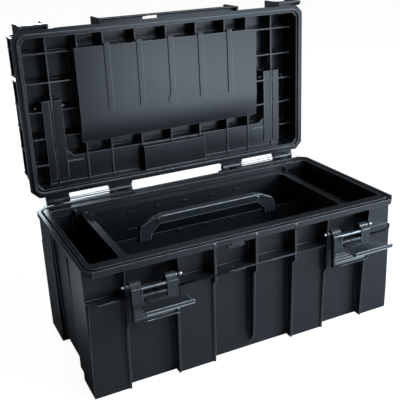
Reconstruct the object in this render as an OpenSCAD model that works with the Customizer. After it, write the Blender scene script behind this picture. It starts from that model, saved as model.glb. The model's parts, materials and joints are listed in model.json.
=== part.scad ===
// Hard tool case with a hinged lid, two toggle latches, a lift-out tray
// and a fold-down carry handle. Drawn with the lid open at ninety degrees,
// the latch claws dropped open, the tray seated and the handle folded.
// Origin: middle of the flat underside. X along the front, Y to the hinge, Z up.

/* [Case body] */
// Outside length of the body rim
case_w = 536; // [516:1:556]
// Outside depth of the body rim
case_d = 277; // [270:1:290]
// Height of the body rim above the floor
rim_h = 211; // [198:1:233]
// Moulded wall thickness
wall = 3; // [2.6:0.2:3.2]
// Thickness of the outside fins
fin_t = 3; // [2.4:0.2:3.2]
// Corner cut of the rim
rim_cut = 13; // [11:0.5:15]
// Depth of the outside skirt under the rim
skirt_h = 9; // [8:0.5:11]
// Drop from the rim to the top of the outside ledge
ledge_drop = 51; // [49:1:55]

/* [Lid] */
// Height of the closed lid above the rim
lid_h = 49; // [47:1:53]
// How far the lid stands open in the drawing, degrees
lid_open = 90; // [0:5:90]
// Half length of the recessed block
block_x = 170; // [150:2:174]

/* [Latches] */
// Middle of each latch, from the middle of the case
latch_x = 170.5; // [168:0.5:173]
// Half width of the lever and of the wide end of the claw
lever_half = 35.2; // [32:0.2:36]
// How far the claw hangs open in the drawing, degrees
claw_open = 86.5; // [0:0.5:86.5]

/* [Tray and handles] */
// Depth of the lift-out tray
tray_h = 80; // [60:2:110]
// Half length of the tray rim
tray_x = 201; // [191:1:203]
// How far the tray is lifted in the drawing
tray_up = 0; // [0:5:130]
// How far the carry handle is raised in the drawing, degrees
handle_up = 0; // [0:5:90]

/* [Fits] */
// Clearance of a pin that is fixed in its hole
fixed_fit = 0.02; // [0:0.01:0.03]
// Clearance of a pin that turns in its hole
run_fit = 0.06; // [0.04:0.01:0.1]
// Gap between closed rims
rim_gap = 0.4; // [0.3:0.1:0.6]

/* [Hidden] */
$fn = 48;
hw = case_w / 2;
hd = case_d / 2;
// level that the lid, hinge, latches and tray are measured from
seat_z = rim_h - 3;
band_z = rim_h - skirt_h;
// outside wall of the tub: set back from the rim, more at the floor
tub_top = 22.9;
tub_low = 27.5;
side_top = 13;
side_low = 15;
// raised panels stand proud of the tub wall
panel_top = 11.2;
panel_low = 16.5;
post_w = hw - 1.5;
post_cut = 4;
band_y = hd - 18.5;
ledge_z = rim_h - ledge_drop - wall;
// fins along the front and the back
fin_x = [0, 70.2, latch_x - 40.3, latch_x + 40.3];
post_x = fin_x[3];
post_y = 52;
side_y = 40;
foot_z = 14;
foot_gap = [-68, 56];
// rim seal: tongue on the lid, groove in the body
seal_x = hw - 7.4;
seal_y = hd - 7;
seal_r = 14;
tongue_w = 2.4;
groove_w = 4;
// hinge line
hinge_y = hd + 11.3;
hinge_z = seat_z + 5.9;
hinge_r = 2.5;
knuckle_r = 6;
hinge_in = 98;
hinge_out = hw - 29;
// padlock eye, left of the middle
eye_x = -35;
eye_y = -hd + 9;
eye_r = 4.5;
// latch lines
pin_y = -hd + 1.8;
pin_z = seat_z - 32.2;
latch_pin_r = 2.25;
rod_y = -hd - 5.5;
rod_up_z = seat_z - 37;
rod_low_z = seat_z - 49;
rod_up_r = 2.9;
rod_low_r = 2;
rod_half = 30.5;
arm_in = 19;
sleeve_r = 3.45;
claw_len = 59;
claw_t = 2.4;
claw_y = rod_y + 1.6;
neck_half = 16;
// lid
lid_y = hd + 0.8;
lid_x = hw + 1;
lid_in = 13;
lid_wall = 10;
lid_lip = seat_z + 8;
lid_z = rim_h + rim_gap;
lid_top = rim_h + lid_h;
skirt_y = -hd - 9.5;
gap_in = latch_x - 43.5;
gap_out = latch_x + 40.5;
rib_t = 2;
rib_z = seat_z + 23.5;
// recess for the carry handle
leg_in = hw - 72;
leg_out = hw - 39;
leg_end = -19;
cross_y = hd - 57.5;
channel_end = hd - 15.5;
channel_z = seat_z + 25.5;
channel_floor = seat_z + 28;
handle_y = -7;
handle_z = seat_z + 33;
handle_pin_r = 2.5;
bar_in = hd - 40.5;
bar_out = hd - 18.5;
// tray
tray_y = 1.5;
tray_half = hd - 33;
tray_top = seat_z - 8;
tray_lip = 10;
tray_low = tray_top - tray_h;
tray_back = tray_y + tray_half - tray_lip;
shelf_z = tray_top - wall - 0.3;
divider_y = 26;
divider_drop = 30;
divider_top = tray_top - divider_drop;
grip_x = 88;
grip_h = 15;

// ---------- helpers ----------

// outline in Y and Z, run along X about the middle
module run_x(points, length) {
    rotate([90, 0, 90]) linear_extrude(height = length, center = true) polygon(points);
}

// outline in X and Z, run along Y about the middle
module run_y(points, length) {
    rotate([90, 0, 0]) linear_extrude(height = length, center = true) polygon(points);
}

// box between two X values, two Y values and two Z values
module slab(x, y, z) {
    translate([x[0], y[0], z[0]]) cube([x[1] - x[0], y[1] - y[0], z[1] - z[0]]);
}

// rectangle with its corners cut off
module cut_plan(x, y, c) {
    polygon([[x - c, -y], [x, c - y], [x, y - c], [x - c, y],
        [c - x, y], [-x, y - c], [-x, c - y], [c - x, -y]]);
}

// rectangle with round corners
module round_plan(x, y, r) {
    square([2 * x, 2 * (y - r)], center = true);
    square([2 * (x - r), 2 * y], center = true);
    for (sx = [-1, 1], sy = [-1, 1])
        translate([sx * (x - r), sy * (y - r)]) circle(r);
}

// rod along X between two X values
module rod(x, y, z, r) {
    translate([x[0], y, z]) rotate([0, 90, 0]) cylinder(h = x[1] - x[0], r = r);
}

// one item and its mirror image at the other end of the case
module both_ends() {
    children();
    mirror([1, 0, 0]) children();
}

// one item and its mirror image at the other face of the case
module both_faces() {
    children();
    mirror([0, 1, 0]) children();
}

// tapered box: half sizes at the floor and at the top
module taper(x0, x1, y0, y1, z0, z1) {
    intersection() {
        run_x([[-y0, z0], [y0, z0], [y1, z1], [-y1, z1]], 2 * case_w);
        run_y([[-x0, z0], [x0, z0], [x1, z1], [-x1, z1]], 2 * case_d);
    }
}

// ---------- body ----------

module panel_zone() {
    // corner posts and the pilasters between fins
    both_ends() both_faces() {
        slab([post_x, hw], [post_y, hd], [0, ledge_z + 1]);
        slab([fin_x[1], fin_x[2]], [0, hd], [0, ledge_z + 1]);
    }
}

module panel_zone_inside() {
    both_ends() both_faces() {
        slab([post_x + wall, hw], [post_y + wall, hd], [foot_z + wall, ledge_z - wall]);
        slab([post_x + wall, hw], [wall - foot_gap[0], hd], [wall + 1, foot_z + 2 * wall]);
        slab([fin_x[1] + wall, fin_x[2] - wall], [60, hd], [wall + 1, ledge_z - wall]);
    }
}

// block as deep as the panels; the corner cut runs out towards the floor
module panel_block(inset, cut) {
    intersection() {
        run_x([[-hd + panel_low + inset, 0], [hd - panel_low - inset, 0],
            [hd - panel_top - inset, ledge_z + 1], [-hd + panel_top + inset, ledge_z + 1]],
            2 * case_w);
        linear_extrude(ledge_z + 1) cut_plan(post_w - inset, hd - panel_top - inset, cut);
    }
}

module panels() {
    intersection() {
        panel_block(0, post_cut);
        panel_zone();
    }
    // corners above the ledge
    both_ends() both_faces() slab([post_x, post_w], [post_y, band_y], [ledge_z, band_z + 1]);
    // middle of each side
    run_y([[-hw + 8, foot_z], [hw - 8, foot_z], [hw - 6, band_z + 1], [-hw + 6, band_z + 1]],
        2 * side_y);
}

module panels_inside() {
    intersection() {
        panel_block(wall, post_cut - 1.7);
        panel_zone_inside();
    }
    both_ends() both_faces() slab([post_x + wall, post_w - wall], [post_y + wall, band_y - wall],
        [ledge_z - wall - 1, band_z - wall]);
    run_y([[-hw + 8 + wall, foot_z + wall], [hw - 8 - wall, foot_z + wall],
        [hw - 6 - wall, band_z - wall], [-hw + 6 + wall, band_z - wall]], 2 * (side_y - wall));
}

module tub_outside() {
    taper(hw - side_low, hw - side_top, hd - tub_low, hd - tub_top, 0, rim_h - 1);
}

module tub_inside() {
    intersection() {
        taper(hw - side_low - wall, hw - side_top - wall, hd - tub_low - wall,
            hd - tub_top - wall, wall + 1, rim_h + 1);
        translate([0, 0, wall + 1]) linear_extrude(rim_h)
            round_plan(hw - side_top - wall, hd - tub_top - wall, 8);
    }
}

// outlines of a front fin: set back below step_z, full depth above it
function fin_step(step_z) = [[-hd + 8, step_z - 5], [-hd + 0.5, step_z + 4]];
function fin_under_rim() = [[-hd + 0.5, band_z + 1], [-hd + 40, band_z + 1]];
function fin_over_rim() = [[-hd + 0.5, band_z - 3], [-hd - 1, band_z], [-hd - 1, rim_h - 2.5],
    [-hd + 0.5, rim_h - 1], [-hd + 40, rim_h - 1]];
full_foot = [[-hd + 40, 0], [-hd + 14.5, 0]];
cut_foot = [[-hd + 40, 2], [-hd + tub_low, 2], [-hd + tub_low, 8], [-hd + 14, 25]];

module fin(x, foot, step_z, head) {
    translate([x, 0, 0]) run_x(concat(foot, fin_step(step_z), head), fin_t);
}

module front_fins() {
    fin(0, cut_foot, seat_z - 64, fin_over_rim());
    both_ends() {
        fin(fin_x[1], full_foot, seat_z - 64, fin_over_rim());
        for (x = [fin_x[2], fin_x[3]]) {
            fin(x, full_foot, seat_z - 95, fin_under_rim());
            rod([x - fin_t / 2, x + fin_t / 2], pin_y, pin_z, 5);
        }
    }
}

module back_fins() {
    mirror([0, 1, 0]) {
        fin(0, full_foot, seat_z - 64, fin_under_rim());
        both_ends() for (i = [1:3]) fin(fin_x[i], full_foot, seat_z - 64, fin_under_rim());
    }
}

module side_fins() {
    both_ends() both_faces() {
        translate([0, side_y, 0]) run_y([[hw - 40, foot_z], [hw - 6, foot_z], [hw - 4, 78],
            [hw - 1, band_z + 1], [hw - 40, band_z + 1]], fin_t);
        // ejector marks low on the side
        rod([hw - 9.5, hw - 6.4], 28, 36, 2.2);
        rod([post_w - 1.5, post_w + 1.2], 75, 36, 2.2);
    }
}

module ledge() {
    difference() {
        union() {
            translate([0, 0, ledge_z]) linear_extrude(wall) difference() {
                cut_plan(post_w, hd, rim_cut);
                square([case_w, 2 * (hd - 30)], center = true);
            }
            slab([eye_x - 11, eye_x + 13], [-hd - 2, -hd + 1], [ledge_z, ledge_z + wall]);
        }
        both_ends() slab([fin_x[2] + fin_t / 2, fin_x[3] - fin_t / 2],
            [-hd - 1, -hd + 21], [ledge_z - 1, ledge_z + 5]);
        translate([eye_x, eye_y, ledge_z - 1]) cylinder(h = 5, r = eye_r);
    }
}

module rim() {
    difference() {
        translate([0, 0, band_z]) linear_extrude(skirt_h) cut_plan(hw, hd, rim_cut);
        translate([0, 0, band_z - 1]) linear_extrude(skirt_h - 6)
            cut_plan(hw - wall, hd - wall, rim_cut - 1.7);
    }
}

module rim_groove() {
    translate([0, 0, rim_h - 4]) linear_extrude(5) difference() {
        round_plan(seal_x + groove_w / 2, seal_y + groove_w / 2, seal_r + groove_w / 2);
        round_plan(seal_x - groove_w / 2, seal_y - groove_w / 2, seal_r - groove_w / 2);
    }
}

module padlock_eye() {
    difference() {
        slab([eye_x - 13, eye_x + 13], [-hd - 0.6, -hd + 23], [band_z - 6, band_z - 3]);
        translate([eye_x, eye_y, band_z - 8]) cylinder(h = 8, r = eye_r);
    }
    for (x = [eye_x - 13, eye_x + 10.5])
        slab([x, x + 2.5], [-hd + 1, -hd + 26], [band_z - 6, band_z + 3]);
    slab([eye_x - 9, eye_x + 12], [-hd - 0.6, -hd + 0.4], [band_z - 5, band_z + 1]);
}

// shelf behind the rim, under the knuckles
module hinge_shelf() {
    slab([hinge_in - 10, hinge_out + 10], [hd - 2, hd + 20], [band_z + 0.5, seat_z - 1.5]);
}

module body_knuckle(x) {
    translate([x[0], 0, 0]) rotate([90, 0, 90]) linear_extrude(x[1] - x[0]) {
        translate([hinge_y, hinge_z]) circle(knuckle_r);
        polygon([[hinge_y - knuckle_r, hinge_z], [hinge_y - knuckle_r, rim_h - 0.4],
            [hd - 2, rim_h - 0.4], [hd - 2, band_z + 1], [hinge_y + 5, band_z + 1],
            [hinge_y + knuckle_r, hinge_z]]);
    }
}

module tray_shelf() {
    // shelves along the front and back walls, under the tray rim
    slab([-tray_x + 16, tray_x - 16], [-hd + 24, -hd + 39.5], [shelf_z - wall, shelf_z]);
    slab([-tray_x + 16, tray_x - 16], [hd - 36.5, hd - 24], [shelf_z - wall, shelf_z]);
    for (x = [-150, -50, 50, 150]) {
        translate([x, 0, 0]) run_x([[-hd + 24, tray_top - 22], [-hd + 39, tray_top - 5],
            [-hd + 24, tray_top - 5]], wall);
        translate([x, 0, 0]) run_x([[hd - 24, tray_top - 22], [hd - 36, tray_top - 5],
            [hd - 24, tray_top - 5]], wall);
    }
    // guides beside the tray, each with a round foot
    both_ends() both_faces() {
        slab([tray_x + 5, tray_x + 8], [hd - 30.5, hd - 24], [seat_z - 18, rim_h - 4.5]);
        rod([tray_x + 4.5, tray_x + 8.5], hd - 28, seat_z - 18, 2.5);
    }
}

module body_shell() {
    color("#24292e") difference() {
        union() {
            difference() {
                union() {
                    tub_outside();
                    panels();
                    front_fins();
                    back_fins();
                    side_fins();
                    ledge();
                    rim();
                    padlock_eye();
                    both_ends() {
                        hinge_shelf();
                        body_knuckle([hinge_out - 22, hinge_out - 6]);
                        body_knuckle([hinge_in - 6, hinge_in + 6]);
                        body_knuckle([hinge_in + 22, hinge_in + 34]);
                    }
                }
                tub_inside();
                panels_inside();
            }
            tray_shelf();
        }
        rim_groove();
        both_ends() {
            rod([hinge_in, hinge_out], hinge_y, hinge_z, hinge_r + fixed_fit);
            rod([fin_x[2] - 6.2, fin_x[3] + 7.2], pin_y, pin_z, latch_pin_r + fixed_fit);
            // the case stands on its four corners at the sides
            slab([hw - side_low + 0.2, hw + 1], foot_gap, [-1, foot_z]);
        }
    }
}

// ---------- lid, drawn closed ----------

module lid_outside() {
    translate([0, 0, lid_z]) linear_extrude(lid_lip - lid_z) cut_plan(lid_x, lid_y, rim_cut);
    intersection() {
        taper(lid_x - lid_wall, lid_x - lid_wall - 2, lid_y - lid_wall, lid_y - lid_wall - 2,
            lid_z, lid_top);
        translate([0, 0, lid_z]) linear_extrude(lid_top - lid_z)
            cut_plan(lid_x - lid_wall, lid_y - lid_wall, rim_cut - 3);
    }
    // top plate over the fins, cut back at the hinge side
    translate([0, 0, lid_top - wall]) linear_extrude(wall)
        polygon([[-lid_x + 3, -lid_y + 13.3], [-lid_x + 11, -lid_y + 10], [lid_x - 11, -lid_y + 10],
            [lid_x - 3, -lid_y + 13.3], [lid_x - 3, lid_y - 35.3], [lid_x - 11, lid_y - 7.3],
            [-lid_x + 11, lid_y - 7.3], [-lid_x + 3, lid_y - 35.3]]);
    lid_fins();
}

module lid_fins() {
    for (y = [-126, -110, -66, -57, -17, 20, 57, 104])
        slab([-lid_x + 2, lid_x - 2], [y - fin_t / 2, y + fin_t / 2], [lid_lip - 1, lid_top]);
    // cover over the middle cell of each side
    both_ends() slab([lid_x - 6.5, lid_x - 4.5], [-17, 20], [lid_lip + 4, lid_top]);
    for (x = [0, 57.5, 115, 170, 215]) both_ends() translate([x, 0, 0])
        run_x([[-lid_y + 10, lid_lip - 1], [lid_y - 2, lid_lip - 1], [lid_y - 3, lid_top - 12],
            [lid_y - 13, lid_top], [-lid_y + 13, lid_top], [-lid_y + 10, lid_top - 12]], fin_t);
}

// gap in the top plate between two close fins
module lid_notch() {
    both_ends() slab([lid_x - 9.5, lid_x + 1], [-64.5, -58.5], [lid_lip, lid_top + 1]);
}

module lid_inside() {
    difference() {
        intersection() {
            taper(lid_x - lid_in, lid_x - lid_in - 2, lid_y - lid_in, lid_y - lid_in - 2,
                seat_z, lid_top - wall);
            translate([0, 0, seat_z - 1]) linear_extrude(lid_top - seat_z)
                cut_plan(lid_x - lid_in, lid_y - lid_in, rim_cut - 4);
        }
        lid_block_solid();
        lid_channel_solid();
        lid_ribs();
    }
}

module lid_block_solid() {
    // recess in the lid top, a raised block seen from the inside
    run_x([[-103, seat_z + 5.5], [14, seat_z + 5.5], [57, seat_z + 10],
        [57, lid_top], [-103, lid_top]], 2 * block_x);
    for (x = [-115, -57.5, 0, 57.5, 115])
        slab([x - 4.5, x + 4.5], [-107, 6], [seat_z + 1, seat_z + 12]);
    translate([0, 3, seat_z + 1.5]) cylinder(h = 6, r = 9);
}

module lid_block_pocket() {
    run_x([[-100, seat_z + 8.5], [14, seat_z + 8.5], [54, seat_z + 13], [54, lid_top + 1],
        [-100, lid_top + 1]], 2 * (block_x - wall));
    // dimple round the moulding gate
    translate([0, 3, seat_z]) difference() {
        cylinder(h = 3, r = 6);
        translate([0, 0, -1]) cylinder(h = 5, r = 2.5);
    }
}

module lid_channel_solid() {
    both_ends() {
        slab([leg_in, leg_out], [leg_end, lid_y - lid_in + 1], [channel_z, lid_top]);
        // two bars along each leg
        slab([leg_in, leg_in + 15], [leg_end, hd - 20.5], [channel_z - 2, channel_z + 1]);
        slab([leg_out - 12.5, leg_out], [leg_end, hd - 20.5], [channel_z - 2, channel_z + 1]);
        // inner corner of the channel
        translate([0, 0, channel_z]) linear_extrude(lid_top - channel_z)
            polygon([[leg_in + 1, cross_y - 11], [leg_in - 12, cross_y], [leg_in - 12, cross_y + 3],
                [leg_in + 1, cross_y + 3]]);
        // boss round the outer end of the handle pin
        rod([leg_out - 1, leg_out + 8], handle_y, handle_z, 5);
    }
    slab([-leg_in - 5, leg_in + 5], [cross_y, lid_y - lid_in + 1], [channel_z, lid_top]);
    slab([-60, 60], [cross_y + 2, lid_y - lid_in + 1], [seat_z + 9, lid_top]);
}

module lid_channel_pocket() {
    both_ends() slab([leg_in + wall, leg_out - wall], [leg_end + wall, channel_end],
        [channel_floor, lid_top + 1]);
    slab([-leg_in - 5, leg_in + 5], [cross_y + wall, channel_end], [channel_floor, lid_top + 1]);
    slab([-57, 57], [cross_y + 5, channel_end], [seat_z + 12, lid_top + 1]);
}

module lid_ribs() {
    both_ends() {
        for (y = [-98, -50, -2, 44, 90])
            slab([block_x - 1, lid_x - lid_in + 1], [y - rib_t / 2, y + rib_t / 2],
                [rib_z, lid_top]);
        slab([(leg_in + leg_out - rib_t) / 2, (leg_in + leg_out + rib_t) / 2],
            [-lid_y + lid_in - 1, lid_y - lid_in + 1],
            [rib_z, lid_top]);
    }
    for (x = [-160, -115, -57.5, 0, 57.5, 115, 160]) {
        slab([x - rib_t / 2, x + rib_t / 2], [-lid_y + lid_in - 1, -100], [rib_z, lid_top]);
        slab([x - rib_t / 2, x + rib_t / 2], [56, lid_y - lid_in + 1], [rib_z, lid_top]);
    }
}

module lid_tongue() {
    translate([0, 0, rim_h - 3]) linear_extrude(lid_z - rim_h + 5) difference() {
        round_plan(seal_x + tongue_w / 2, seal_y + tongue_w / 2, seal_r + tongue_w / 2);
        round_plan(seal_x - tongue_w / 2, seal_y - tongue_w / 2, seal_r - tongue_w / 2);
    }
}

module skirt_piece(x) {
    // skirt plate in front of the rim, with a shelf back to the lid
    slab(x, [skirt_y, skirt_y + 2.6], [seat_z - 10, lid_z + 2.6]);
    slab(x, [skirt_y, -lid_y + 1], [lid_z, lid_z + 2.6]);
    // end walls, as high as the lid
    for (e = [x[0] + 1.5, x[1] - 1.5]) translate([e, 0, 0])
        run_x([[skirt_y, seat_z - 10], [skirt_y + 5, seat_z - 10], [skirt_y + 8.5, seat_z - 4],
            [skirt_y + 8.5, lid_z], [-lid_y + lid_wall + 2, lid_z],
            [-lid_y + lid_wall + 2, seat_z + 42], [skirt_y, seat_z + 42]], fin_t);
}

module lid_skirt() {
    difference() {
        union() {
            skirt_piece([-gap_in, gap_in]);
            both_ends() skirt_piece([gap_out, lid_x - 12]);
        }
        // slot for a padlock
        slab([eye_x - 13, eye_x + 13], [-hd - 7.5, -lid_y - 0.4], [seat_z - 20, seat_z + 60]);
    }
}

module lid_knuckle(x) {
    translate([x[0], 0, 0]) rotate([90, 0, 90]) linear_extrude(x[1] - x[0]) {
        translate([hinge_y, hinge_z]) circle(knuckle_r);
        polygon([[hinge_y, hinge_z + knuckle_r], [lid_y - 4, hinge_z + 10], [lid_y - 4, lid_z],
            [hinge_y - 5, lid_z], [hinge_y, hinge_z - 5]]);
    }
}

// plate behind the lid edge, beside the knuckles
module hinge_plate(x) {
    slab(x, [lid_y - 1, hinge_y - 6.3], [lid_z, hinge_z + knuckle_r]);
}

module lid_closed() {
    difference() {
        union() {
            difference() {
                union() {
                    lid_outside();
                    lid_skirt();
                }
                lid_inside();
            }
            lid_tongue();
            both_ends() {
                lid_knuckle([hinge_out - 33.6, hinge_out - 22.4]);
                lid_knuckle([hinge_out - 5.6, hinge_out + 6]);
                lid_knuckle([hinge_in + 6.4, hinge_in + 21.6]);
                hinge_plate([hinge_in - 8, hinge_in + 36]);
                hinge_plate([hinge_out - 33.6, hinge_out + 6]);
            }
        }
        lid_block_pocket();
        lid_channel_pocket();
        lid_notch();
        both_ends() {
            rod([hinge_in, hinge_out + 0.4], hinge_y, hinge_z, hinge_r + run_fit);
            rod([leg_in - 8, leg_out + 15], handle_y, handle_z, handle_pin_r + fixed_fit);
        }
    }
}

// swings everything carried by the lid about the hinge line
module on_lid() {
    translate([0, hinge_y, hinge_z]) rotate([-lid_open, 0, 0])
        translate([0, -hinge_y, -hinge_z]) children();
}

module lid_shell() {
    color("#24292e") on_lid() lid_closed();
}

module hinge_pin(side) {
    x = side > 0 ? [hinge_in + 0.3, hinge_out] : [-hinge_out, -hinge_in - 0.3];
    color("#b9bdc1") rod(x, hinge_y, hinge_z, hinge_r);
}

// ---------- latches, drawn about x = 0 ----------

// two short pins, each from a fin into one arm of the lever
module latch_pin() {
    half = fin_x[3] - latch_x + 5.5;
    color("#c4c8cc") both_ends() rod([arm_in + 1, half], pin_y, pin_z, latch_pin_r);
}

module lever_arm(x) {
    translate([x[0], 0, 0]) rotate([90, 0, 90]) linear_extrude(x[1] - x[0]) {
        translate([pin_y, pin_z]) circle(6.5);
        polygon([[pin_y - 6, pin_z + 2.4], [rod_y - 4.2, pin_z - 2], [rod_y - 4.2, seat_z - 61],
            [rod_y + 4.5, seat_z - 61], [rod_y + 4.5, seat_z - 44], [pin_y + 6, pin_z - 2.4]]);
    }
}

module latch_lever() {
    color("#3a3f44") difference() {
        union() {
            lever_arm([arm_in, lever_half]);
            lever_arm([-lever_half, -arm_in]);
            slab([-lever_half, lever_half], [rod_y + 0.5, rod_y + 4.5], [seat_z - 87, seat_z - 58.5]);
            // finger lip and grip ridges
            run_x([[rod_y + 4.5, seat_z - 89], [rod_y - 3.5, seat_z - 89], [rod_y - 4, seat_z - 87],
                [rod_y + 1, seat_z - 85.5], [rod_y + 4.5, seat_z - 85.5]], 2 * lever_half);
            for (z = [67, 72, 77, 82])
                slab([-lever_half + 4, lever_half - 4], [rod_y - 1.3, rod_y + 1],
                    [seat_z - z - 2, seat_z - z]);
            // side walls down to the lip
            for (x = [-lever_half, lever_half - 3]) translate([x + 1.5, 0, 0])
                run_x([[rod_y + 4, seat_z - 88], [rod_y - 3.5, seat_z - 88],
                    [rod_y - 4.2, seat_z - 60], [rod_y + 4, seat_z - 60]], 3);
        }
        rod([-50, 50], pin_y, pin_z, latch_pin_r + run_fit);
        rod([-rod_half - 0.5, rod_half + 0.5], rod_y, rod_up_z, rod_up_r + fixed_fit);
        rod([-rod_half - 0.5, rod_half + 0.5], rod_y, rod_low_z, rod_low_r + fixed_fit);
    }
}

// plain rod with a narrow turned groove at the middle
module lever_rod() {
    color("#8f959a") {
        rod([-rod_half, -0.7], rod_y, rod_up_z, rod_up_r);
        rod([0.7, rod_half], rod_y, rod_up_z, rod_up_r);
        rod([-1, 1], rod_y, rod_up_z, rod_up_r - 0.7);
    }
}

module claw_pin() {
    color("#8f959a") rod([-rod_half, rod_half], rod_y, rod_low_z, rod_low_r);
}

// claw drawn closed: upright from the lower rod to its hook
module claw_closed() {
    o = rod_y;
    z = rod_low_z;
    out = claw_y - claw_t;
    tip = -lid_y + 1.1;
    difference() {
        union() {
            // sleeve in two halves round the rod
            both_ends() rod([0.7, arm_in - 0.4], o, z, sleeve_r);
            // neck, bent round the upper rod
            run_x([[o - 2.4, z - 2.4], [o - 5.6, z - 1], [o - 5.9, z + 17], [out, z + 26],
                [out, z + 31], [claw_y, z + 31], [claw_y, z + 24.5], [o - 3.3, z + 16],
                [o - 3.3, z]], 2 * neck_half);
            // wide end, with its corners cut
            intersection() {
                slab([-lever_half, lever_half], [out, claw_y], [z + 26, z + claw_len]);
                run_y([[-neck_half, z + 26], [neck_half, z + 26], [lever_half, z + 30],
                    [lever_half, z + claw_len], [-lever_half, z + claw_len],
                    [-lever_half, z + 30]], 2 * case_d);
            }
            // stiffening ribs
            for (x = [-11, 11]) slab([x - 1.2, x + 1.2], [out - 1.4, out + 1], [z + 24, z + 52]);
            // hook
            run_x([[out, z + claw_len - 3], [out, z + claw_len - 1], [out + 2, z + claw_len + 1],
                [tip, z + claw_len + 1], [tip, z + claw_len - 1.2], [claw_y - 0.4, z + claw_len - 1.2]],
                2 * lever_half);
        }
        rod([-arm_in, arm_in], o, z, rod_low_r + run_fit);
    }
}

module latch_claw() {
    color("#464c52") translate([0, rod_y, rod_low_z]) rotate([claw_open, 0, 0])
        translate([0, -rod_y, -rod_low_z]) claw_closed();
}

// ---------- carry handle, drawn folded in the closed lid ----------

module handle_closed() {
    difference() {
        union() {
            both_ends() translate([leg_in + 5, 0, 0])
                rotate([90, 0, 90]) linear_extrude(leg_out - leg_in - 10) {
                    translate([handle_y, handle_z]) circle(4.6);
                    polygon([[handle_y, handle_z - 4.6], [bar_in, seat_z + 40],
                        [bar_in + 6, seat_z + 40], [bar_in + 6, seat_z + 51],
                        [bar_in - 14, seat_z + 51], [handle_y, handle_z + 4.6]]);
                }
            run_x([[bar_in, seat_z + 42], [bar_in + 2, seat_z + 40], [bar_out - 2, seat_z + 40],
                [bar_out, seat_z + 42], [bar_out, seat_z + 49], [bar_out - 2, seat_z + 51],
                [bar_in + 2, seat_z + 51], [bar_in, seat_z + 49]], 2 * (leg_out - 5));
        }
        both_ends() rod([leg_in, leg_out], handle_y, handle_z, handle_pin_r + run_fit);
    }
}

module carry_handle() {
    color("#24292e") on_lid() translate([0, handle_y, handle_z]) rotate([handle_up, 0, 0])
        translate([0, -handle_y, -handle_z]) handle_closed();
}

module handle_pin(side) {
    x = side > 0 ? [leg_in - 6, leg_out + 11.5] : [-leg_out - 11.5, -leg_in + 6];
    color("#b9bdc1") on_lid() rod(x, handle_y, handle_z, handle_pin_r);
}

// ---------- tray ----------

module tray_taper(gap, z0) {
    // inside or outside of the tray walls
    translate([0, tray_y, 0]) intersection() {
        taper(tray_x - tray_lip - gap - 5, tray_x - tray_lip - gap,
            tray_half - tray_lip - gap - 5, tray_half - tray_lip - gap, z0, tray_top + 0.01);
        translate([0, 0, z0]) linear_extrude(tray_h + 1)
            round_plan(tray_x - tray_lip - gap, tray_half - tray_lip - gap, 14 - gap);
    }
}

// tabs that carry loose dividers
module tray_tabs() {
    for (x = [-116, -64, -12, 40, 92])
        slab([x - 5, x + 5], [tray_back - 6, tray_back - 1], [tray_top - 12.5, tray_top - 10]);
    for (x = [-56, -5, 43])
        slab([x - 4, x + 4], [divider_y - 4, divider_y], [divider_top - 4, divider_top - 1]);
    // lower tab and knob near the left end of the back wall
    slab([-126, -109], [tray_back - 9, tray_back - 4.3], [tray_top - 43, tray_top - 41]);
    translate([-131, tray_back - 8, tray_low + 12]) rotate([-90, 0, 0]) cylinder(h = 3, r = 2);
}

module tray_tub() {
    color("#1d2125") translate([0, 0, tray_up]) {
        difference() {
            union() {
                tray_taper(0, tray_low);
                translate([0, tray_y, tray_top - wall]) linear_extrude(wall)
                    round_plan(tray_x, tray_half, 16);
                // stiffening bead on the rim
                translate([0, tray_y, tray_top - wall]) linear_extrude(wall + 1.2) difference() {
                    round_plan(tray_x, tray_half, 16);
                    round_plan(tray_x - 2, tray_half - 2, 14);
                }
            }
            tray_taper(2.5, tray_low + 2.5);
        }
        // long divider under the handle
        intersection() {
            tray_taper(1, tray_low + 1);
            slab([-tray_x, tray_x], [divider_y - 1.5, divider_y + 1.5], [tray_low, divider_top]);
        }
        tray_tabs();
    }
}

// grip with two arms that straddle the divider
module tray_handle() {
    top = tray_top + 2;
    low = top - grip_h;
    end = divider_top - 6;
    color("#1d2125") translate([0, divider_y, tray_up]) difference() {
        union() {
            intersection() {
                run_y([[-grip_x, top], [grip_x, top], [grip_x + 8, top - 5], [grip_x + 5, low],
                    [-grip_x - 5, low], [-grip_x - 8, top - 5]], 16);
                run_x([[-8, low + 2], [-6, low], [6, low], [8, low + 2], [8, top - 1],
                    [7, top], [-7, top], [-8, top - 1]], 2 * tray_x);
            }
            both_ends() run_y([[grip_x - 2, top], [grip_x + 16, top - 3], [grip_x + 36, top - 12],
                [grip_x + 40, top - 24], [grip_x + 40, end], [grip_x + 20, end],
                [grip_x + 20, top - 29], [grip_x + 5, low], [grip_x - 2, low]], 12);
        }
        // slot over the divider
        slab([-tray_x, tray_x], [-1.8, 1.8], [tray_low, divider_top + 0.3]);
    }
}

// ---------- assembly ----------

body_shell();
lid_shell();
hinge_pin(-1);  // hinge_pin_left
hinge_pin(1);  // hinge_pin_right
translate([-latch_x, 0, 0]) latch_pin();  // latch_pin_left
translate([latch_x, 0, 0]) latch_pin();  // latch_pin_right
translate([-latch_x, 0, 0]) latch_lever();  // latch_lever_left
translate([latch_x, 0, 0]) latch_lever();  // latch_lever_right
translate([-latch_x, 0, 0]) lever_rod();  // lever_rod_left
translate([latch_x, 0, 0]) lever_rod();  // lever_rod_right
translate([-latch_x, 0, 0]) claw_pin();  // claw_pin_left
translate([latch_x, 0, 0]) claw_pin();  // claw_pin_right
translate([-latch_x, 0, 0]) latch_claw();  // latch_claw_left
translate([latch_x, 0, 0]) latch_claw();  // latch_claw_right
carry_handle();
handle_pin(-1);  // handle_pin_left
handle_pin(1);  // handle_pin_right
tray_tub();
tray_handle();
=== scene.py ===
"""Looks of a hard tool case: ribbed body, hinged lid, two latches, tray and both handles."""

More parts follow.
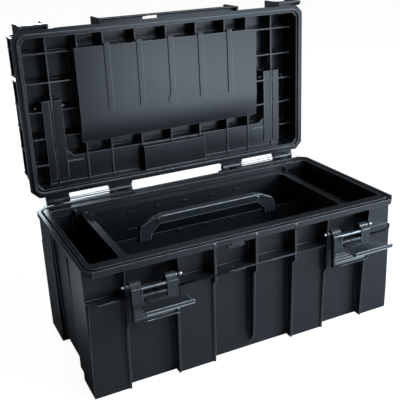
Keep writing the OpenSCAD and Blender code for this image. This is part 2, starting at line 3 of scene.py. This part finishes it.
import json
import logging
import math
from dataclasses import dataclass, field, replace
from enum import Enum
from typing import Iterable, Union

import bpy
from mathutils import Matrix, Vector

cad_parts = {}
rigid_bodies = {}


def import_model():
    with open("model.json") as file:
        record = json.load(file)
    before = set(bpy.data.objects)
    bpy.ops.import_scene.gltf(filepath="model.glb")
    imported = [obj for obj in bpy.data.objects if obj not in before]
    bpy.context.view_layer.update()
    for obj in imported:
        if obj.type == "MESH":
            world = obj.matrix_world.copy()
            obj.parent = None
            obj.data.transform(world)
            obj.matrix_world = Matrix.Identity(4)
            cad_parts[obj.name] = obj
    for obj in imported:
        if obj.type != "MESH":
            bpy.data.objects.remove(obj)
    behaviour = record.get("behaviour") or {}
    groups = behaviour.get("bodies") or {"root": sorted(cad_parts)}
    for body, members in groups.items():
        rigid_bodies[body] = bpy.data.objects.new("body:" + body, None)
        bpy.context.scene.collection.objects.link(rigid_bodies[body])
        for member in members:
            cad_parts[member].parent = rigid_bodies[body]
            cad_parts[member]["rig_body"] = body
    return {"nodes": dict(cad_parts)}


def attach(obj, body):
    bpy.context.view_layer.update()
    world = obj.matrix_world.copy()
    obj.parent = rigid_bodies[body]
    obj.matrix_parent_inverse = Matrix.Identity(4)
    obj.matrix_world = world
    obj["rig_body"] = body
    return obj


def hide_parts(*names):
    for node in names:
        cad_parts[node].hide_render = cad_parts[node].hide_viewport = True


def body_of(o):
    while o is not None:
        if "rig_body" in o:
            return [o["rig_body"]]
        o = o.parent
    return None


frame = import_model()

logging.basicConfig(level=logging.INFO, format="%(message)s")
log = logging.getLogger("tool_case")

MM = 0.001
Number = Union[float, "Value"]

# Points of a CAD mesh nearer than this are one point, and flatter folds are one face.
MERGE_DISTANCE = 0.00001
FLAT_ANGLE = math.radians(0.6)
# Folds sharper than this are rounded, where no edge beside them is shorter than this
# many widths of the rounding.
SHARP_ANGLE = math.radians(28)
ROOM_PER_EDGE = 1.6
ROUNDING_SEGMENTS = 2
# Faces that meet below this angle are shaded as one, and large faces keep flat shading.
SMOOTH_ANGLE = math.radians(60)
FLAT_FACE_WEIGHT = 80
NOISE_OCTAVES = 2.0


# ---------------------------------------------------------------- shader helpers


class Value:
    """A number socket of a node tree that can be used in Python expressions."""

    def __init__(self, tree: bpy.types.NodeTree, socket: bpy.types.NodeSocket) -> None:
        """Wraps an output socket of the tree."""
        self.tree = tree
        self.socket = socket

    def _math(self, operation: str, *terms: Number) -> "Value":
        """Adds a Math node.

        Args:
            operation: Name of the Math operation.
            terms: Numbers or values, in the order of the node's inputs.

        Returns:
            The node's result.
        """
        made = self.tree.nodes.new("ShaderNodeMath")
        made.operation = operation
        for place, term in enumerate(terms):
            if isinstance(term, Value):
                self.tree.links.new(term.socket, made.inputs[place])
            else:
                made.inputs[place].default_value = term
        return Value(self.tree, made.outputs[0])

    def __add__(self, other: Number) -> "Value":
        """Sum."""
        return self._math("ADD", self, other)

    def __radd__(self, other: Number) -> "Value":
        """Sum with a plain number first."""
        return self._math("ADD", other, self)

    def __sub__(self, other: Number) -> "Value":
        """Difference."""
        return self._math("SUBTRACT", self, other)

    def __rsub__(self, other: Number) -> "Value":
        """Difference with a plain number first."""
        return self._math("SUBTRACT", other, self)

    def __mul__(self, other: Number) -> "Value":
        """Product."""
        return self._math("MULTIPLY", self, other)

    def __rmul__(self, other: Number) -> "Value":
        """Product with a plain number first."""
        return self._math("MULTIPLY", other, self)

    def clamp(self) -> "Value":
        """The value held between 0 and 1."""
        made = self._math("ADD", self, 0.0)
        made.socket.node.use_clamp = True
        return made


class Paint:
    """A new material with its Principled shader, and the one method that adds other nodes."""

    def __init__(self, name: str) -> None:
        """Makes the material.

        Args:
            name: Name of the material.
        """
        self.material = bpy.data.materials.new(name)
        self.material.use_nodes = True
        self.tree = self.material.node_tree
        self.shader = self.tree.nodes["Principled BSDF"]

    def node(
        self, kind: str, settings: dict[str, object], inputs: dict[str, object]
    ) -> bpy.types.Node:
        """Adds a node.

        Args:
            kind: Node type.
            settings: Attributes set first, such as an operation.
            inputs: Numbers, colours, values or sockets for the named inputs.

        Returns:
            The new node.
        """
        made = self.tree.nodes.new(kind)
        for name, setting in settings.items():
            setattr(made, name, setting)
        for name, given in inputs.items():
            self.feed(made.inputs[name], given)
        return made

    def feed(self, socket: bpy.types.NodeSocket, given: object) -> None:
        """Sets or links one input socket.

        Args:
            socket: The input.
            given: A number, colour, Value or output socket.
        """
        if isinstance(given, Value):
            self.tree.links.new(given.socket, socket)
        elif isinstance(given, bpy.types.NodeSocket):
            self.tree.links.new(given, socket)
        else:
            socket.default_value = given

    def noise(self, scale: float) -> Value:
        """Noise over the object's own coordinates.

        Args:
            scale: Features per metre.

        Returns:
            The noise value, about 0.5 on average.
        """
        place = self.node("ShaderNodeTexCoord", {}, {})
        made = self.node(
            "ShaderNodeTexNoise",
            {},
            {"Vector": place.outputs["Object"], "Scale": scale, "Detail": NOISE_OCTAVES},
        )
        return Value(self.tree, made.outputs["Fac"])


class Grain(Enum):
    """Surface texture of a moulding: feature size per metre and bump height in metres."""

    SPARKED = (1400.0, 0.000045)
    SATIN = (900.0, 0.00002)


@dataclass(frozen=True)
class Plastic:
    """A moulded plastic finish, with slow changes of gloss and a fine moulded grain."""

    name: str
    colour: tuple[float, float, float]
    roughness: float
    grain: Grain
    # paleness added to the colour of the rounded edges: a painted highlight along every edge
    edge_highlight: float = 0.10
    edge_polish: float = 0.05
    gloss_scale: float = 9.0
    gloss_spread: float = 0.08
    grain_strength: float = 0.5

    def edge_highlighted(self) -> "Plastic":
        """The same plastic with a painted highlight on its rounded edges: paler there, and
        smoother.

        Returns:
            The finish of the rounded edges, with the painted highlight.
        """
        # the edges are painted paler to stand for the highlight that light makes along them
        highlighted_colour = tuple(part + self.edge_highlight for part in self.colour)
        polished = self.roughness - self.edge_polish
        return replace(self, name=self.name + " edge", colour=highlighted_colour, roughness=polished)

    def make(self) -> bpy.types.Material:
        """Builds the material.

        Returns:
            The new material.
        """
        paint = Paint(self.name)
        scale, height = self.grain.value
        paint.feed(paint.shader.inputs["Base Color"], (*self.colour, 1.0))
        flow = paint.noise(self.gloss_scale)
        rough = (self.roughness - self.gloss_spread / 2) + flow * self.gloss_spread
        paint.feed(paint.shader.inputs["Roughness"], rough.clamp())
        fine = paint.noise(scale)
        bump = paint.node(
            "ShaderNodeBump",
            {},
            {"Strength": self.grain_strength, "Distance": height, "Height": fine},
        )
        paint.feed(paint.shader.inputs["Normal"], bump.outputs["Normal"])
        return paint.material


@dataclass(frozen=True)
class Steel:
    """A steel finish with fine changes of gloss."""

    name: str
    colour: tuple[float, float, float]
    roughness: float
    gloss_scale: float = 260.0
    gloss_spread: float = 0.15

    def make(self) -> bpy.types.Material:
        """Builds the material.

        Returns:
            The new material.
        """
        paint = Paint(self.name)
        paint.feed(paint.shader.inputs["Base Color"], (*self.colour, 1.0))
        paint.feed(paint.shader.inputs["Metallic"], 1.0)
        rough = self.roughness + (paint.noise(self.gloss_scale) - 0.5) * self.gloss_spread
        paint.feed(paint.shader.inputs["Roughness"], rough.clamp())
        return paint.material


# The paleness given to the rounded edges of each plastic below is a painted highlight along
# the edges.
BODY_PLASTIC = Plastic("body plastic", (0.0045, 0.0055, 0.007), 0.38, Grain.SPARKED, edge_highlight=0.22)
LID_PLASTIC = Plastic("lid plastic", (0.0045, 0.0055, 0.007), 0.26, Grain.SATIN, edge_highlight=0.22)
TRAY_PLASTIC = Plastic("tray plastic", (0.002, 0.0025, 0.003), 0.34, Grain.SATIN)
GRIP_PLASTIC = Plastic("grip plastic", (0.009, 0.011, 0.013), 0.30, Grain.SATIN)
LATCH_PLASTIC = Plastic("latch plastic", (0.018, 0.020, 0.022), 0.22, Grain.SATIN, edge_highlight=0.25)
PIN_STEEL = Steel("pin steel", (0.62, 0.63, 0.64), 0.32)
ROD_STEEL = Steel("rod steel", (0.14, 0.145, 0.15), 0.45)


# ---------------------------------------------------------------- mesh helpers


def clear_selection() -> None:
    """Deselects every object."""
    bpy.ops.object.select_all(action="DESELECT")


def pick(piece: bpy.types.Object) -> None:
    """Makes a piece the only selected and active object.

    Args:
        piece: The object to select.
    """
    clear_selection()
    piece.select_set(True)
    bpy.context.view_layer.objects.active = piece


def paint_all(piece: bpy.types.Object, material: bpy.types.Material) -> None:
    """Gives a piece one material.

    Args:
        piece: The object to paint.
        material: Its new material.
    """
    piece.data.materials.clear()
    piece.data.materials.append(material)


def weigh_edges(mesh: bpy.types.Mesh, edge: float) -> int:
    """Picks the sharp edges that have room to be rounded.

    One very short edge would otherwise shrink the rounding of the whole piece.

    Args:
        mesh: The merged mesh of the piece.
        edge: Width of the rounding, in metres.

    Returns:
        How many edges were picked.
    """
    normals: dict[tuple[int, int], list[Vector]] = {}
    for face in mesh.polygons:
        for key in face.edge_keys:
            normals.setdefault(key, []).append(face.normal.copy())
    shortest = [math.inf] * len(mesh.vertices)
    for line in mesh.edges:
        ends = [mesh.vertices[i].co for i in line.vertices]
        length = (ends[0] - ends[1]).length
        for i in line.vertices:
            shortest[i] = min(shortest[i], length)
    weights = mesh.attributes.new("bevel_weight_edge", "FLOAT", "EDGE")
    picked = 0
    for line in mesh.edges:
        sides = normals.get(line.key, [])
        sharp = len(sides) == 2 and sides[0].angle(sides[1], 0.0) > SHARP_ANGLE
        room = min(shortest[i] for i in line.vertices) > ROOM_PER_EDGE * edge
        weights.data[line.index].value = float(sharp and room)
        picked += sharp and room
    return picked


def softened(node: str, edge: float, finish: Plastic) -> bpy.types.Object:
    """Copies a CAD node, rounds its sharp edges and lets the copy stand for the node.

    Args:
        node: Name of the CAD node.
        edge: Width asked for the rounding, in metres; the clamp may make it narrower.
        finish: Plastic of the copy; its rounded edges get the form with the painted edge
            highlight.

    Returns:
        The rounded copy.
    """
    source = frame["nodes"][node]
    piece = bpy.data.objects.new(node + "_rounded", source.data.copy())
    bpy.context.scene.collection.objects.link(piece)
    pick(piece)
    bpy.ops.object.mode_set(mode="EDIT")
    bpy.ops.mesh.select_all(action="SELECT")
    bpy.ops.mesh.remove_doubles(threshold=MERGE_DISTANCE)
    bpy.ops.mesh.dissolve_limited(angle_limit=FLAT_ANGLE)
    bpy.ops.object.mode_set(mode="OBJECT")
    picked = weigh_edges(piece.data, edge)
    log.info("%s: %d of %d edges rounded", node, picked, len(piece.data.edges))
    rounding = piece.modifiers.new("rounding", "BEVEL")
    rounding.width = edge
    rounding.segments = ROUNDING_SEGMENTS
    rounding.limit_method = "WEIGHT"
    rounding.use_clamp_overlap = True
    paint_all(piece, finish.make())
    piece.data.materials.append(finish.edge_highlighted().make())
    # the rounded faces take the second material, painted paler as a highlight along the edges
    rounding.material = 1
    bpy.ops.object.modifier_apply(modifier=rounding.name)
    bpy.ops.object.shade_smooth_by_angle(angle=SMOOTH_ANGLE)
    flat = piece.modifiers.new("flat faces", "WEIGHTED_NORMAL")
    flat.keep_sharp = True
    flat.weight = FLAT_FACE_WEIGHT
    bpy.ops.object.modifier_apply(modifier=flat.name)
    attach(piece, body_of(source)[0])
    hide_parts(node)
    log.info("%s: %d faces", piece.name, len(piece.data.polygons))
    return piece


# ---------------------------------------------------------------- sub-assemblies


@dataclass
class Mouldings:
    """The large plastic parts: body, lid, tray and both handles."""

    edge: float = 0.6 * MM
    dress: dict[str, tuple[Plastic, str]] = field(
        default_factory=lambda: {
            "body_shell": (BODY_PLASTIC, "body_plastic"),
            "lid_shell": (LID_PLASTIC, "lid_plastic"),
            "tray_tub": (TRAY_PLASTIC, "tray_plastic"),
            "tray_handle": (GRIP_PLASTIC, "tray_plastic"),
            "carry_handle": (LID_PLASTIC, "handle_plastic"),
        }
    )

    def build(self) -> None:
        """Rounds and paints each moulding."""
        for node, (finish, slot) in self.dress.items():
            softened(node, self.edge, finish)


@dataclass
class Latches:
    """The plastic levers and claws of both latches."""

    edge: float = 0.6 * MM
    sides: tuple[str, str] = ("left", "right")
    kinds: tuple[str, str] = ("latch_lever", "latch_claw")

    def build(self) -> None:
        """Rounds and paints the levers and claws."""
        for side in self.sides:
            for kind in self.kinds:
                softened(f"{kind}_{side}", self.edge, LATCH_PLASTIC)


@dataclass
class Pins:
    """The steel pins and rods, whose CAD shapes stay as they are."""

    dull: tuple[str, ...] = ("lever_rod", "claw_pin", "handle_pin")

    def build(self) -> None:
        """Paints the hinge and latch pins bright, and the rods and other pins dull."""
        pins, rods = PIN_STEEL.make(), ROD_STEEL.make()
        for name, node in frame["nodes"].items():
            if name.startswith(self.dull):
                paint_all(node, rods)
                log.info("%s: dull steel", name)
            elif "pin" in name:
                paint_all(node, pins)
                log.info("%s: bright steel", name)


# ---------------------------------------------------------------- studio


@dataclass(frozen=True)
class Softbox:
    """A square area lamp that points at the case."""

    name: str
    place: tuple[float, float, float]
    target: tuple[float, float, float]
    size: float
    watts: float
    tint: tuple[float, float, float] = (0.82, 0.97, 1.10)

    def build(self) -> None:
        """Makes the lamp."""
        data = bpy.data.lights.new(self.name, "AREA")
        data.energy = self.watts
        data.size = self.size
        data.color = self.tint
        lamp = bpy.data.objects.new(self.name, data)
        lamp.location = self.place
        aim = Vector(self.target) - Vector(self.place)
        lamp.rotation_euler = aim.to_track_quat("-Z", "Y").to_euler()
        bpy.context.scene.collection.objects.link(lamp)


@dataclass(frozen=True)
class Studio:
    """White floor, surround, softboxes and the camera.

    The camera is given in the photograph's pixels, degrees and metres. Floor and surround
    are white to the camera alone, and grey to everything else.
    """

    focal_px: float = 690.35
    frame_px: float = 400.0
    centre_px: tuple[float, float] = (207.67, 183.19)
    heading: float = 25.51
    dip: float = 19.83
    roll: float = -2.49
    eye: tuple[float, float, float] = (-0.46973, -0.96037, 0.63279)
    sensor: float = 36.0
    clip_near: float = 0.05
    clip_far: float = 60.0
    floor_half: float = 12.0
    floor_drop: float = 0.0005
    floor_white: float = 0.82
    floor_bounce: float = 0.3
    floor_roughness: float = 0.9
    floor_specular: float = 0.1
    floor_glow: float = 1.2
    glow_share: float = 0.8
    world_grey: float = 0.08
    lamps: tuple[Softbox, ...] = (
        Softbox("lid", (0.45, -0.80, 1.00), (0.0, 0.15, 0.42), 0.5, 10.0),
        Softbox("key", (1.7, -1.1, 0.9), (0.0, 0.0, 0.2), 0.8, 98.0),
        Softbox("back", (-1.7, 1.7, 0.8), (0.0, 0.0, 0.1), 1.0, 6.0),
        Softbox("rear", (0.12, 2.3, 0.5), (0.0, 0.1, 0.2), 0.4, 20.0),
        Softbox("low front", (0.60, -1.05, 0.03), (0.0, 0.0, 0.9), 0.7, 6.5),
        Softbox("low back", (-0.51, 0.15, 0.02), (-0.5, 0.1, 0.9), 0.24, 0.28),
    )

    def camera(self) -> None:
        """Places the camera at the photograph's viewpoint."""
        az, el, turn = (math.radians(a) for a in (self.heading, self.dip, self.roll))
        level = math.cos(el)
        ahead = Vector((math.sin(az) * level, math.cos(az) * level, -math.sin(el)))
        right = ahead.cross(Vector((0, 0, 1))).normalized()
        up = right.cross(ahead)
        side = math.cos(turn) * right + math.sin(turn) * up
        top = -math.sin(turn) * right + math.cos(turn) * up
        data = bpy.data.cameras.new("camera")
        data.sensor_width = self.sensor
        data.lens = self.sensor * self.focal_px / self.frame_px
        data.shift_x = 0.5 - self.centre_px[0] / self.frame_px
        data.shift_y = self.centre_px[1] / self.frame_px - 0.5
        data.clip_start = self.clip_near
        data.clip_end = self.clip_far
        made = bpy.data.objects.new("camera", data)
        turned = Matrix((side, top, -ahead)).transposed().to_4x4()
        made.matrix_world = Matrix.Translation(self.eye) @ turned
        bpy.context.scene.collection.objects.link(made)
        bpy.context.scene.camera = made

    def floor(self) -> None:
        """Makes a white floor that keeps a soft shadow."""
        clear_selection()
        bpy.ops.mesh.primitive_plane_add(
            size=2 * self.floor_half, location=(0, 0, -self.floor_drop)
        )
        plane = bpy.context.object
        plane.name = "floor"
        paint = Paint("floor white")
        seen = paint.node("ShaderNodeLightPath", {}, {}).outputs["Is Camera Ray"]
        extra = self.floor_white - self.floor_bounce
        level = Value(paint.tree, seen) * extra + self.floor_bounce
        paint.feed(paint.shader.inputs["Base Color"], level)
        paint.feed(paint.shader.inputs["Roughness"], self.floor_roughness)
        paint.feed(paint.shader.inputs["Specular IOR Level"], self.floor_specular)
        glow = paint.node(
            "ShaderNodeEmission", {}, {"Color": (1, 1, 1, 1), "Strength": self.floor_glow}
        )
        share = Value(paint.tree, seen) * self.glow_share
        mix = paint.node("ShaderNodeMixShader", {}, {"Fac": share})
        paint.tree.links.new(paint.shader.outputs["BSDF"], mix.inputs[1])
        paint.tree.links.new(glow.outputs["Emission"], mix.inputs[2])
        out = paint.tree.nodes["Material Output"]
        paint.tree.links.new(mix.outputs["Shader"], out.inputs["Surface"])
        paint_all(plane, paint.material)

    def world(self) -> None:
        """Makes a grey surround that looks white to the camera."""
        world = bpy.data.worlds.new("surround")
        bpy.context.scene.world = world
        world.use_nodes = True
        tree = world.node_tree
        path = tree.nodes.new("ShaderNodeLightPath")
        seen = Value(tree, path.outputs["Is Camera Ray"])
        level = seen * (1.0 - self.world_grey) + self.world_grey
        back = tree.nodes["Background"]
        back.inputs["Color"].default_value = (1, 1, 1, 1)
        tree.links.new(level.socket, back.inputs["Strength"])

    def build(self) -> None:
        """Makes the whole studio."""
        self.camera()
        self.floor()
        self.world()
        for lamp in self.lamps:
            lamp.build()
        bpy.context.scene.view_settings.view_transform = "Standard"


def main() -> None:
    """Builds every sub-assembly in order."""
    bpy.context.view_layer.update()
    Studio().build()
    Mouldings().build()
    Latches().build()
    Pins().build()
    bpy.context.view_layer.update()


if __name__ == "__main__":
    main()
